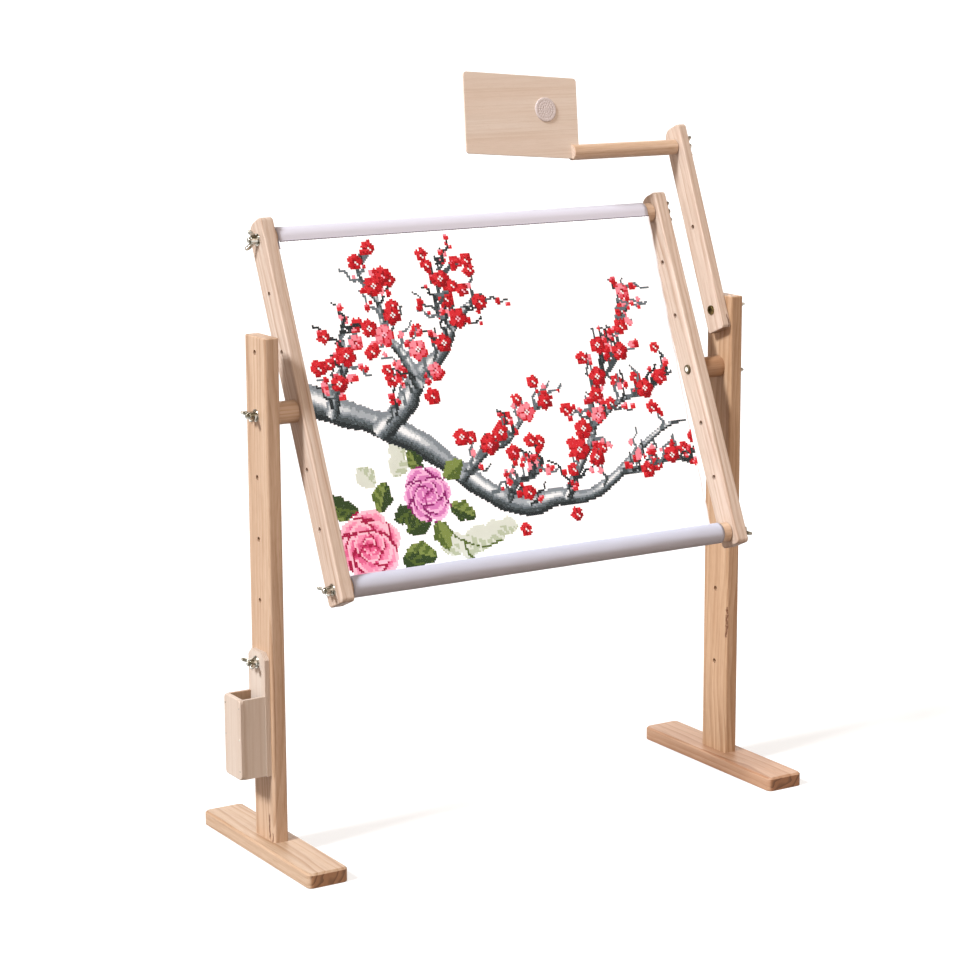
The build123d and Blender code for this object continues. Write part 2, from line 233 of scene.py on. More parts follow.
def grain_space(graph, centre, turn):
    """Coordinates with the grain along Z: moved to the board's centre and turned by the Euler angles."""
    return graph.turned(graph.vector("SUBTRACT", graph.place(), tuple(centre)), turn)


def facing(graph, turn, axis):
    """How squarely the surface faces along one of the board's own axes, from 0 to 1."""
    normal = graph.turned(graph.add("TexCoord").outputs["Normal"], turn)
    return graph.math("ABSOLUTE", graph.part(normal, axis))


ALONG_Z = (0.0, 0.0, 0.0)
ALONG_Y = (math.radians(90), 0.0, 0.0)
ALONG_X = (0.0, math.radians(-90), 0.0)
WITH_RAIL = (LEAN, 0.0, 0.0)
WITH_ARM = (math.radians(22.4), 0.0, 0.0)
WITH_BOARD = (math.radians(12.7), 0.0, 0.0)
ON_SIDE = (0.0, 0.0, math.radians(90))


def tones(pale, mid, late, end, rings=0.85):
    """Screen colours of pale wood, mean wood, late wood and end grain, and how strongly the end shows its rings."""
    return {"pale": lit(*pale), "mid": lit(*mid), "late": lit(*late), "end": lit(*end), "rings": rings}


PINE = tones((240, 217, 196), (229, 202, 177), (187, 148, 115), (222, 186, 156))
# Painted shade: the right post's tones are darker than PINE to stand for the shade on it.
RIGHT_PINE_PAINTED_SHADE = tones((235, 206, 178), (223, 190, 158), (180, 137, 100), (214, 176, 144))
FOOT_PINE = tones((233, 212, 191), (222, 196, 171), (182, 142, 107), (180, 136, 102))
RIGHT_FOOT_PINE = tones((230, 199, 175), (218, 181, 153), (176, 126, 92), (172, 124, 90))
RAIL_PINE = tones((245, 234, 225), (237, 221, 209), (201, 169, 147), (196, 158, 130))
DOWEL = tones((247, 224, 203), (240, 214, 190), (210, 172, 142), (236, 214, 196), 0.30)
# Painted shade: a darker copy of DOWEL for the right spacer, standing for the shade of the right rail on it.
DOWEL_PAINTED_SHADE = tones((212, 176, 146), (200, 162, 130), (166, 124, 90), (200, 160, 128), 0.30)
BOARD = tones((255, 245, 236), (252, 239, 228), (248, 232, 219), (216, 192, 172))
BOX = tones((232, 222, 213), (227, 214, 203), (220, 204, 191), (200, 180, 162))
# Painted shade: darker, warmer tones for the rear panel and bottom inside the tool box, standing for the shade in its
# hollow.
BOX_INSIDE_PAINTED_SHADE = tones((206, 176, 150), (196, 164, 136), (184, 150, 122), (160, 128, 100))

# Node: board axes, tones, seed, ring spacing in mm, heart of the tree beside the board, wander, contrast.
SOLID_WOOD = {
    "left_post": (ALONG_Z, PINE, 3.1, 8.6, (0.085, 0.10), 1.2, 0.62),
    "right_post": (ALONG_Z, RIGHT_PINE_PAINTED_SHADE, 7.7, 8.8, (-0.09, 0.08), 1.2, 0.66),
    "left_foot": (ALONG_Y, FOOT_PINE, 11.3, 14.0, (0.06, 0.045), 1.3, 0.74),
    "right_foot": (ALONG_Y, RIGHT_FOOT_PINE, 15.9, 13.0, (0.05, 0.06), 1.3, 0.70),
    "left_rail": (WITH_RAIL, RAIL_PINE, 21.3, 8.4, (0.07, 0.08), 1.2, 0.62),
    "right_rail": (WITH_RAIL, RAIL_PINE, 25.7, 8.0, (0.09, 0.07), 1.2, 0.62),
    "chart_arm": (WITH_ARM, RAIL_PINE, 31.1, 8.0, (0.08, 0.07), 1.2, 0.66),
}
for i, turned in enumerate(("left_spacer", "right_spacer", "top_rod", "bottom_rod", "chart_dowel")):
    # The right spacer takes the darker dowel tones, which are painted shade.
    shade_of_wood = DOWEL_PAINTED_SHADE if turned == "right_spacer" else DOWEL
    SOLID_WOOD[turned] = (ALONG_X, shade_of_wood, 41.0 + 2 * i, 5.6, (0.04, 0.03), 1.2, 0.45)
# Node: centre of each knot in the board's own axes, and its radius.
KNOTS = {"right_post": [((-0.012, -0.033, -0.140), 0.0022)], "left_foot": [((0.030, 0.0115, 0.0), 0.003)]}
# Node: centre of each crack, half its length, its width, and the axis that it is thin along.
CRACKS = {
    "left_post": [((-0.012, -0.017, -0.366), 0.022, 0.0030, 1), ((-0.012, -0.027, -0.382), 0.009, 0.0022, 1)],
    "right_post": [((-0.0108, -0.033, -0.140), 0.007, 0.0013, 0), ((-0.0104, -0.033, -0.156), 0.010, 0.0016, 0),
                   ((-0.0112, -0.033, -0.176), 0.012, 0.0021, 0)],
    "chart_arm": [((0.004, -0.021, -0.163), 0.012, 0.0016, 0)],
}


def wood(node, turn, tone, seed, ring_mm, heart, wander, contrast):
    """Pine: growth rings about a heart beside the board, fibres, slow tone changes and ringed end grain."""
    knots, cracks = KNOTS.get(node, ()), CRACKS.get(node, ())
    graph = Graph(("turned_" if turn is ALONG_X else "pine_") + node)
    p = grain_space(graph, centre_of(node), turn)
    shifted = graph.vector("ADD", p, (seed * 0.37, seed * 0.53, seed * 0.71))
    slow = graph.add("TexNoise", {"Vector": graph.scaled(shifted, (5.0, 5.0, 1.8)), "Scale": 1.0, "Detail": 3.0})
    drift = graph.vector("SUBTRACT", slow.outputs["Color"], (0.5, 0.5, 0.5))
    drift = graph.scaled(drift, (0.04 * wander, 0.04 * wander, 0.0))
    ring_place = graph.vector("ADD", graph.vector("ADD", p, heart + (0.0,)), drift)
    for spot, radius in knots:
        gap = graph.vector("SUBTRACT", p, spot)
        far = graph.vector("LENGTH", graph.scaled(gap, (1.0, 1.0, 0.55)))
        near = graph.span(far, radius * 0.6, radius * 4.5, 1.0, 0.0)
        weight = graph.add("CombineXYZ", {0: near, 1: near, 2: near}).outputs[0]
        push = graph.vector("MULTIPLY", graph.scaled(gap, (0.55, 0.55, 0.0)), weight)
        ring_place = graph.vector("ADD", ring_place, push)
    flat = graph.scaled(ring_place, (1.0, 1.0, 0.0))
    rings_out = graph.times(graph.vector("LENGTH", flat), 1 / (ring_mm * MM))
    wave = graph.math("FRACT", graph.plus(rings_out, graph.times(graph.noise(flat, 42.0, 1.0), 2.6)))
    pale, mid, late, end = tone["pale"], tone["mid"], tone["late"], tone["end"]
    rings = graph.ramp(wave, [(0.0, pale), (0.4, mid), (0.74, late), (0.86, dimmed(late, 0.86)), (0.93, mid), (1.0, pale)])
    presence = graph.noise(shifted, (46.0, 46.0, 3.6))
    base = graph.mix(graph.span(presence, 0.32, 0.66, 0.15 * contrast, contrast), mid, rings)
    patch = graph.noise(shifted, (22.0, 22.0, 3.0), 3.0)
    base = graph.mix(graph.span(patch, 0.32, 0.72, 0.0, 0.6), base, graph.mix(0.55, base, late))
    fibre = graph.noise(shifted, (1500.0, 1500.0, 26.0), 3.0, 0.65)
    base = graph.stain(base, 0.38, fibre, 0.25, 0.62, (0.62, 0.56, 0.50))
    pores = graph.noise(shifted, (780.0, 780.0, 44.0), 2.0, 0.6)
    base = graph.stain(base, 0.34, pores, 0.34, 0.5, (0.70, 0.60, 0.50))
    streak = graph.noise(shifted, (190.0, 190.0, 2.6))
    base = graph.stain(base, 0.36, streak, 0.34, 0.6, (0.74, 0.64, 0.54), (1.05, 1.04, 1.03))
    for spot, radius in knots:
        far = graph.vector("LENGTH", graph.scaled(graph.vector("SUBTRACT", p, spot), (1.0, 1.0, 0.8)))
        far = graph.plus(far, graph.times(graph.noise(p, 160.0), radius * 0.5))
        knot = graph.ramp(graph.math("DIVIDE", far, radius * 1.6),
                          [(0.0, lit(120, 74, 44)), (0.5, lit(150, 96, 60)), (0.72, lit(104, 62, 38)), (0.9, late)])
        base = graph.mix(graph.span(far, radius * 1.15, radius * 1.6, 1.0, 0.0), base, knot)
    cells = graph.noise(shifted, 1400.0)
    cut = graph.mix(graph.span(cells, 0.35, 0.65, 0.0, 0.4), end, dimmed(end, 0.7))
    cut = graph.mix(graph.span(wave, 0.5, 0.86, 0.0, tone["rings"]), cut, dimmed(end, 0.42))
    base = graph.mix(graph.span(facing(graph, turn, 2), 0.72, 0.95), base, cut)
    height = graph.plus(graph.times(fibre, 0.8), graph.times(wave, 0.3))
    for centre, half, width, axis in cracks:
        wobble = graph.noise(shifted, 110.0, 4.0)
        gap = graph.add("SeparateXYZ", {0: graph.vector("SUBTRACT", p, centre)}).outputs
        across = graph.plus(gap[axis], graph.times(graph.math("SUBTRACT", wobble, 0.5), 0.006))
        thin = graph.span(graph.math("ABSOLUTE", across), width * 0.4, width, 1.0, 0.0)
        along = graph.span(graph.math("ABSOLUTE", gap[2]), half * 0.75, half, 1.0, 0.0)
        deep = graph.span(graph.math("ABSOLUTE", gap[1 - axis]), 0.004, 0.005, 1.0, 0.0)
        crack = graph.times(graph.times(thin, along), deep)
        base = graph.mix(graph.times(crack, 0.85), base, lit(98, 52, 26))
        height = graph.math("SUBTRACT", height, graph.times(crack, 3.0))
    rough = graph.span(streak, 0.3, 0.7, 0.46, 0.6)
    return graph.finish(base, rough, height, 0.16, 0.0004, Specular_IOR_Level=0.3)


def plywood(node, turn, tone, seed, thickness, upright=False):
    """Thin board: faint long grain on its faces and dark glue lines on its edges. Its thickness runs along Y."""
    graph = Graph("plywood_" + node)
    p = grain_space(graph, centre_of(node), turn)
    shifted = graph.vector("ADD", p, (seed, seed * 0.7, seed * 0.3))

    def grain(along, across, detail=2.0, roughness=0.5):
        scale = (across, across, along) if upright else (along, across, across)
        return graph.noise(shifted, scale, detail, roughness)
    figure = grain(3.5, 34.0, 3.0)
    fine = grain(34.0, 1400.0, 3.0, 0.6)
    lines = grain(2.5, 260.0)
    face = graph.ramp(figure, [(0.3, tone["late"]), (0.5, tone["mid"]), (0.7, tone["pale"])])
    face = graph.stain(face, 0.30, fine, 0.3, 0.6, (0.74, 0.69, 0.64))
    face = graph.stain(face, 0.40, lines, 0.34, 0.5, (0.84, 0.78, 0.72))
    face = graph.mix(graph.span(grain(200.0, 2200.0, 1.0), 0.66, 0.74, 0.0, 0.35), face, tone["end"])
    layer = graph.math("FRACT", graph.plus(graph.times(graph.part(p, 1), 3 / thickness), 0.5))
    dark = lit(150, 118, 90)
    glue = graph.ramp(layer, [(0.0, dark), (0.12, tone["late"]), (0.85, tone["mid"]), (1.0, dark)])
    base = graph.mix(graph.span(facing(graph, turn, 1), 0.4, 0.6), glue, face)
    return graph.finish(base, 0.58, fine, 0.1, 0.0003, Specular_IOR_Level=0.3)


def metal(name, colour, tint, rough, seed=0.0):
    """Plated steel: slight colour variation, fine handling marks and dull spots."""
    graph = Graph(name)
    p = graph.vector("ADD", graph.place(), (seed, seed, seed))
    base = graph.mix(graph.span(graph.noise(p, 150.0, 1.0), 0.40, 0.62), colour, tint)
    scratch = graph.noise(p, (900.0, 2600.0, 2600.0), 3.0, 0.7)
    dull = graph.span(scratch, 0.3, 0.75, rough * 0.7, rough * 1.5)
    return graph.finish(base, dull, scratch, 0.12, 0.00012, Metallic=1.0)


def weave_height(graph, u, v, pitch):
    """Raised squares of thread with small holes at their corners, as in counted cross-stitch fabric."""
    humps = [graph.math("ABSOLUTE", graph.math("SINE", graph.times(value, math.pi / pitch))) for value in (u, v)]
    return graph.math("POWER", graph.math("MAXIMUM", *humps), 0.6)


def cloth(name, colour, shade, centre, turn, pitch=2.2 * MM, sheen=0.15, strength=0.25):
    """White cotton with a square weave, in the sheet's own axes."""
    graph = Graph(name)
    p = grain_space(graph, centre, turn)
    weave = weave_height(graph, graph.part(p, 0), graph.part(p, 2), pitch)
    threads = graph.noise(p, 2600.0)
    base = graph.mix(graph.span(weave, 0.2, 0.75), shade, colour)
    base = graph.mix(graph.span(threads, 0.3, 0.7, 0.0, 0.10), base, shade)
    base = graph.mix(graph.span(graph.noise(p, 9.0), 0.3, 0.7, 0.0, 0.06), base, shade)
    height = graph.plus(weave, graph.times(threads, 0.4))
    return graph.finish(base, 0.85, height, strength, 0.0004, Specular_IOR_Level=0.2, Sheen_Weight=sheen)


def thread(name, colour):
    """Stranded cotton: soft sheen and fine twisted strands."""
    graph = Graph("thread_" + name)
    p = graph.place()
    strands = graph.noise(p, 5200.0, 1.0)
    colour = dimmed(srgb(*colour), 0.86)
    base = graph.mix(graph.span(strands, 0.3, 0.7, 0.0, 0.22), colour, dimmed(colour, 0.6))
    base = graph.mix(graph.span(graph.noise(p, 60.0), 0.35, 0.7, 0.0, 0.14), base, dimmed(colour, 1.25))
    return graph.finish(base, 0.72, strands, 0.2, 0.0002, Specular_IOR_Level=0.12)


def assign(node, material):
    slots = NODES[node].data.materials
    slots.clear()
    slots.append(material)


def centre_of(node):
    low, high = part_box(node)
    return (low + high) / 2


# ---------------------------------------------------------------- mesh helpers

def piece(name, vertices, faces, material, body, smooth=True, indices=None):
    """A mesh object from arrays, riding on a body."""
    mesh = bpy.data.meshes.new(name)
    mesh.from_pydata([tuple(v) for v in vertices], [], [tuple(f) for f in faces])
    materials = material if isinstance(material, list) else [material]
    for item in materials:
        mesh.materials.append(item)
    if indices is not None:
        mesh.polygons.foreach_set("material_index", np.asarray(indices, np.int32))
    mesh.polygons.foreach_set("use_smooth", [smooth] * len(mesh.polygons))
    mesh.update()
    item = bpy.data.objects.new(name, mesh)
    bpy.context.scene.collection.objects.link(item)
    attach(item, body)
    return item


def circle(count):
    """Angles at even steps round a full turn."""
    return [2 * math.pi * j / count for j in range(count)]


def flipped(faces, offset):
    """The same faces turned over, on points that come offset later."""
    return [tuple(reversed([i + offset for i in face])) for face in faces]


def grid_faces(rows, columns, wrap=False):
    """Quads of a grid of points, rows by columns, columns joined round when wrap is true."""
    faces = []
    for i in range(rows - 1):
        for j in range(columns if wrap else columns - 1):
            a, b = i * columns + j, i * columns + (j + 1) % columns
            faces.append((a, b, b + columns, a + columns))
    return faces


def slab_faces(rows, columns):
    """Closed thin sheet: a grid of points in front, the same grid behind, and the rim between them."""
    count = rows * columns
    front = grid_faces(rows, columns)
    loop = list(range(columns)) + [i * columns + columns - 1 for i in range(1, rows)]
    loop += [count - 1 - j for j in range(1, columns)] + [i * columns for i in range(rows - 2, 0, -1)]
    rim = [(b, a, a + count, b + count) for a, b in zip(loop, loop[1:] + loop[:1])]
    return front + flipped(front, count) + rim


def lathe(profile, segments):
    """Closed surface of revolution about X from (x, r) pairs that start and end anywhere."""
    points = [(x, r * math.cos(a), r * math.sin(a)) for x, r in profile for a in circle(segments)]
    return points, grid_faces(len(profile), segments, wrap=True)


def smooth_by_angle(item, degrees=35):
    """Smooth shading with edges kept sharp above an angle."""
    work = bmesh.new()
    work.from_mesh(item.data)
    for edge in work.edges:
        edge.smooth = not (edge.is_manifold and edge.calc_face_angle(0) > math.radians(degrees))
    for face in work.faces:
        face.smooth = True
    work.to_mesh(item.data)
    work.free()


def mend(item, merge=False):
    """Makes normals agree, after touching points are merged when merge is true."""
    work = bmesh.new()
    work.from_mesh(item.data)
    if merge:
        bmesh.ops.remove_doubles(work, verts=work.verts, dist=1e-6)
    bmesh.ops.recalc_face_normals(work, faces=work.faces)
    work.to_mesh(item.data)
    work.free()


# ---------------------------------------------------------------- stage: camera, floor and lights

CAMERA_AT = (-2.1814, -3.4686, 1.3694)
CAMERA_HEADING = 31.588
CAMERA_DOWN = 11.508
CAMERA_ROLL = -0.256
CAMERA_LENS = 99.05
CAMERA_SENSOR = 36
FLOOR_REACH = 600.0
FLOOR_GLOW = 0.66
# Height, from 0 straight below to 1 straight above, and the light's colour there.
SKY = (
    (0.0, (0.14, 0.075, 0.035)), (0.40, (0.24, 0.15, 0.085)), (0.475, (0.36, 0.27, 0.19)), (0.485, (1.55, 1.2, 1.0)),
    (0.60, (1.55, 1.2, 1.0)), (0.66, (0.28, 0.18, 0.11)), (1.0, (0.40, 0.32, 0.25)),
)
WHITE_LIGHT = (1.0, 1.0, 1.0)
KEY_FROM = (-1.10, -0.10, 1.0)
FILL_FROM = (0.05, -0.85, 0.5)
# Name, where it comes from, strength over pi, angular size in degrees, colour, and what it lights.
SUNS = (
    ("key_left", KEY_FROM, 1.49, 12, WHITE_LIGHT, "wood"),
    ("fill_front", FILL_FROM, 0.23, 50, (1.0, 0.87, 0.77), "wood"),
    ("fill_back", (0.45, 0.85, 0.35), 0.42, 50, (1.0, 0.97, 0.94), "all"),
    ("key_cloth", KEY_FROM, 1.49, 12, WHITE_LIGHT, "cloth"),
    ("back_cloth", (0.25, 0.85, 0.5), 0.36, 40, (0.94, 0.97, 1.0), "cloth"),
    ("front_cloth", FILL_FROM, 0.55, 50, (0.95, 0.97, 1.0), "cloth"),
)


def add_camera():
    data = bpy.data.cameras.new("camera")
    data.lens = CAMERA_LENS
    data.sensor_width = CAMERA_SENSOR
    item = bpy.data.objects.new("camera", data)
    bpy.context.scene.collection.objects.link(item)
    turn = Matrix.Rotation(math.radians(-CAMERA_HEADING), 4, "Z")
    tip = Matrix.Rotation(math.radians(90 - CAMERA_DOWN), 4, "X")
    roll = Matrix.Rotation(math.radians(CAMERA_ROLL), 4, "Z")
    item.matrix_world = Matrix.Translation(CAMERA_AT) @ turn @ tip @ roll
    bpy.context.scene.camera = item


def add_floor():
    """A very large pale floor. It gives no bounce light, so the world alone sets the light from below."""
    graph = Graph("floor_paint")
    mottle = graph.noise(graph.place(), 3.0)
    base = graph.mix(graph.span(mottle, 0.3, 0.7), (0.39, 0.41, 0.43, 1), (0.40, 0.42, 0.44, 1))
    glow = {"Emission_Color": (1, 1, 1, 1), "Emission_Strength": FLOOR_GLOW}
    mesh = bpy.data.meshes.new("floor")
    corners = [(x * FLOOR_REACH, y * FLOOR_REACH, 0) for x, y in ((-1, -1), (1, -1), (1, 1), (-1, 1))]
    mesh.from_pydata(corners, [], [(0, 1, 2, 3)])
    mesh.materials.append(graph.finish(base, 0.9, Specular_IOR_Level=0.05, **glow))
    floor = bpy.data.objects.new("floor", mesh)
    bpy.context.scene.collection.objects.link(floor)
    floor.visible_diffuse = False
    return floor


def add_world():
    """Soft light from all round: white at the horizon, dimmer overhead, dim and warm from below."""
    world = bpy.data.worlds.new("studio")
    graph = Graph("studio", world)
    up = graph.part(graph.add("TexCoord").outputs["Generated"], 2)
    colour = graph.ramp(graph.span(up, -1.0, 1.0), [(height, tint + (1,)) for height, tint in SKY])
    graph.add("OutputWorld", {0: graph.add("Background", {0: colour}).outputs[0]})
    bpy.context.scene.world = world


def add_suns(floor, cloths):
    """Directional lights. The cloth has its own key light, and only the floor shades it there."""
    others, only, blocker = (bpy.data.collections.new(name) for name in ("all_but_cloth", "cloth", "shades_cloth"))
    for item in cloths:
        others.objects.link(item)
        only.objects.link(item)
    blocker.objects.link(floor)
    for entry in others.collection_objects:
        entry.light_linking.link_state = "EXCLUDE"
    for name, towards, strength, angle, colour, lights in SUNS:
        data = bpy.data.lights.new(name, "SUN")
        data.energy = strength * math.pi
        data.angle = math.radians(angle)
        data.color = colour
        item = bpy.data.objects.new(name, data)
        bpy.context.scene.collection.objects.link(item)
        item.matrix_world = Vector(towards).to_track_quat("Z", "Y").to_matrix().to_4x4()
        if lights == "wood":
            item.light_linking.receiver_collection = others
        elif lights == "cloth":
            item.light_linking.receiver_collection = only
            item.light_linking.blocker_collection = blocker


# ---------------------------------------------------------------- wooden and metal CAD nodes

def finish_nodes():
    """Gives every CAD node its material, and returns plated steel for the pieces added to it."""
    for name, values in SOLID_WOOD.items():
        assign(name, wood(name, *values))
    assign("chart_board", plywood("chart_board", WITH_BOARD, BOARD, 2.3, 3.0 * MM))
    # The rear panel and the bottom take the painted-shade tones of the box's inside.
    panels = {"box_back_plate": (ON_SIDE, BOX), "box_outer_panel": (ON_SIDE, BOX), "box_front_panel": (ALONG_Z, BOX),
              "box_rear_panel": (ALONG_Z, BOX_INSIDE_PAINTED_SHADE), "box_bottom": (ALONG_Z, BOX_INSIDE_PAINTED_SHADE)}
    for i, (name, (turn, tone)) in enumerate(panels.items()):
        low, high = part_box(name)
        assign(name, plywood(name, turn, tone, 5.0 + i, min(high - low), True))
    zinc = metal("zinc_plate", srgb(196, 195, 188), srgb(104, 100, 84), 0.25)
    bronze = metal("yellow_zinc", srgb(142, 128, 84), srgb(84, 74, 44), 0.34, 3.0)
    for name in NODES:
        if name.endswith(("washer", "washers", "stud", "studs", "screws", "_nut")):
            assign(name, zinc)
        if name.endswith("bolt"):
            assign(name, bronze)
    assign("right_pivot_bolt", eyelet())
    return zinc


def eyelet():
    """Bright plated ring about a dark middle, round the pivot."""
    graph = Graph("eyelet_zinc")
    p = graph.vector("SUBTRACT", graph.place(), tuple(PIVOT))
    off_axis = graph.vector("LENGTH", graph.scaled(p, (0.0, 1.0, 1.0)))
    speck = graph.noise(p, 700.0)
    ring = graph.span(off_axis, 3.6 * MM, 4.1 * MM)
    face = graph.mix(ring, srgb(244, 243, 238), graph.mix(speck, srgb(96, 84, 56), srgb(66, 56, 36)))
    return graph.finish(face, graph.span(speck, 0.3, 0.7, 0.3, 0.45), speck, 0.1, 0.0002, Metallic=0.35)


# ---------------------------------------------------------------- cloth, rolls and aprons

def add_sheet(material):
    """The stretched cloth: a thin closed sheet with slightly waisted sides."""
    columns, rows = 172, 132
    ss = np.linspace(-SHEET_HALF, SHEET_HALF - SEAM_BELOW_TOP, rows)
    waist = 1.6 * MM * np.cos(np.clip(ss / SHEET_HALF, -1, 1) * math.pi / 2)
    left = SHEET_X0 + waist + 0.5 * MM * np.sin(ss * 160.0)
    right = SHEET_X1 - waist - 0.5 * MM * np.sin(ss * 150.0 + 1.0)
    x = left[:, None] + (right - left)[:, None] * np.linspace(0, 1, columns)[None, :]
    s = np.repeat(ss[:, None], columns, 1)
    points = np.concatenate([sheet_points(x, s, side * 0.25 * MM).reshape(-1, 3) for side in (1, -1)])
    item = piece("cloth_sheet_woven", points, slab_faces(rows, columns), material, "frame")
    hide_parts("cloth_sheet")
    return item


def add_roll(name, axis, body, node, material, seed):
    """Cloth wound on a rod: an uneven tube with the layers showing as a spiral at its ends."""
    low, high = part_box(node)
    inner, segments, columns = 16.05 * MM, 96, 150
    phases = np.random.default_rng(seed).uniform(0, 6.28, 6)

    def on_circle(x, r, a):
        return (x, axis.y + r * math.cos(a), axis.z + r * math.sin(a))
    points = []
    for x in np.linspace(low.x, high.x, columns):
        for j, a in enumerate(circle(segments)):
            ripple = 0.06 * MM * math.sin(3 * a + x * 14 + phases[0]) + 0.05 * MM * math.sin(7 * a - x * 31 + phases[1])
            crease = 0.07 * MM * math.sin(x * 95 + 2 * a + phases[2])
            points.append(on_circle(x, ROLL_R - 0.12 * MM - 0.28 * MM * (j / segments) + ripple + crease, a))
    faces = grid_faces(columns, segments, wrap=True)
    layers = 3
    for first, x, inward in ((0, low.x, 1), ((columns - 1) * segments, high.x, -1)):
        for k in range(1, layers + 1):
            base = len(points)
            inset = (0.35 if k % 2 else 0.0) * MM * inward
            r = (ROLL_R - 0.3 * MM) * (1 - k / layers) + inner * k / layers
            points += [on_circle(x + inset, r, a) for a in circle(segments)]
            for j in range(segments):
                k2 = (j + 1) % segments
                quad = (first + j, base + j, base + k2, first + k2)
                faces.append(quad if inward > 0 else tuple(reversed(quad)))
            first = base
    left_bore, right_bore = len(points) - (layers + 1) * segments, len(points) - segments
    for j in range(segments):
        k = (j + 1) % segments
        faces.append((left_bore + j, right_bore + j, right_bore + k, left_bore + k))
    item = piece(name, points, faces, material, body)
    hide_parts(node)


def add_apron(name, axis, material, top):
    """Tape that comes off a roll tangentially and carries the cloth's edge."""
    sign, wrap_angle = (1, 150) if top else (-1, 60)
    bends, columns, half_thick, inset = 26, 90, 0.16 * MM, 1.1 * MM
    out, up = SHEET_FRONT * sign, SHEET_UP * sign
    middle = Vector((0, axis.y, axis.z))
    line = []
    for i in range(bends):
        a = math.radians(wrap_angle) * (1 - i / (bends - 1))
        line.append(middle + (out * math.cos(a) + up * math.sin(a)) * (SHEET_REACH - 0.45 * MM * min(1.0, a / 0.5)))
    line += [middle + out * SHEET_REACH - up * i * 2.1 * MM for i in range(1, 6)]
    points = []
    for layer in (half_thick, -half_thick):
        for k, at in enumerate(line):
            along = (line[min(k + 1, len(line) - 1)] - line[max(k - 1, 0)]).normalized()
            normal = Vector((0, along.z, -along.y))
            spot = at + (normal if normal.dot(at - middle) >= 0 else -normal) * layer
            points += [(x, spot.y, spot.z) for x in np.linspace(SHEET_X0 + inset, SHEET_X1 - inset, columns)]
    return piece(name, points, slab_faces(len(line), columns), material, "frame")


def add_seam(name, s, radius, material):
    """Corded seam across the cloth, with a stitch bump every few millimetres."""
    columns, around = 460, 8
    points = []
    for i, x in enumerate(np.linspace(SHEET_X0, SHEET_X1, columns)):
        r = radius * (1 + 0.16 * math.sin(i * math.pi / 2))
        points += [sheet_points(x, s + r * math.cos(a), 0.35 * MM + r * math.sin(a)) for a in circle(around)]
    faces = grid_faces(columns, around, wrap=True)
    faces += [tuple(range(around)), tuple(reversed(range((columns - 1) * around, columns * around)))]
    item = piece(name, points, faces, material, "frame")
    mend(item)
    return item


# ---------------------------------------------------------------- the cross-stitch picture

CELL = 3.0 * MM
DRAWN = 3.4 * MM / CELL  # one unit of the drawing, in cells
COLS = int((SHEET_X1 - SHEET_X0 - 2 * MM) / CELL)
ROWS = int((2 * SHEET_HALF - 16 * MM) / CELL)
ART_X = SHEET_X0 + 1.5 * MM
ART_S = 2 * MM - SHEET_HALF
# Thread colours of each subject, dark to light.
THREADS = {
    "branch": {"ink": (40, 46, 48), "charcoal": (66, 74, 77), "slate": (96, 106, 112), "steel": (128, 137, 144),
               "ash": (160, 168, 174), "mist": (198, 204, 208), "snow": (232, 235, 237)},
    "blossom": {"wine": (140, 14, 24), "red": (182, 22, 32), "scarlet": (206, 44, 52), "rose": (218, 88, 104),
                "blush": (232, 138, 152)},
    "peony": {"crimson": (158, 26, 66), "cerise": (198, 58, 104), "pink": (218, 100, 142), "shell": (232, 142, 172),
              "pearl": (242, 186, 202), "mulberry": (132, 34, 100), "magenta": (176, 72, 140), "lilac": (208, 122, 182),
              "petal": (234, 178, 214)},
    "leaf": {"forest": (50, 68, 36), "olive": (82, 100, 46), "moss": (122, 138, 72), "sage": (176, 186, 160),
             "dew": (208, 213, 202)},
}
NAMES = [name for colours in THREADS.values() for name in colours]
BARK = tuple(THREADS["branch"])
art = np.full((ROWS, COLS), -1, int)
YY, XX = np.mgrid[0:ROWS, 0:COLS]
GRAIN = rng.normal(0, 1, (ROWS, COLS))


def put(mask, name):
    art[mask] = NAMES.index(name)


def shade(mask, value, names):
    """Threads from a list, dark to light, by value from 0 to 1."""
    order = np.array([NAMES.index(n) for n in names])
    pick = np.clip((value * len(order)).astype(int), 0, len(order) - 1)
    art[mask] = order[pick][mask]


def curve(points, count):
    """Smooth line through control points with a radius as third number."""
    p = np.array(points, float)
    p = np.vstack([2 * p[0] - p[1], p, 2 * p[-1] - p[-2]])
    out = []
    per = max(2, count // (len(p) - 3))
    for i in range(1, len(p) - 2):
        for t in np.linspace(0, 1, per, endpoint=False):
            a, b, c, d = p[i - 1], p[i], p[i + 1], p[i + 2]
            out.append(0.5 * (2 * b + (c - a) * t + (2 * a - 5 * b + 4 * c - d) * t**2 + (3 * b - a - 3 * c + d) * t**3))
    out.append(p[-2])
    return np.array(out)


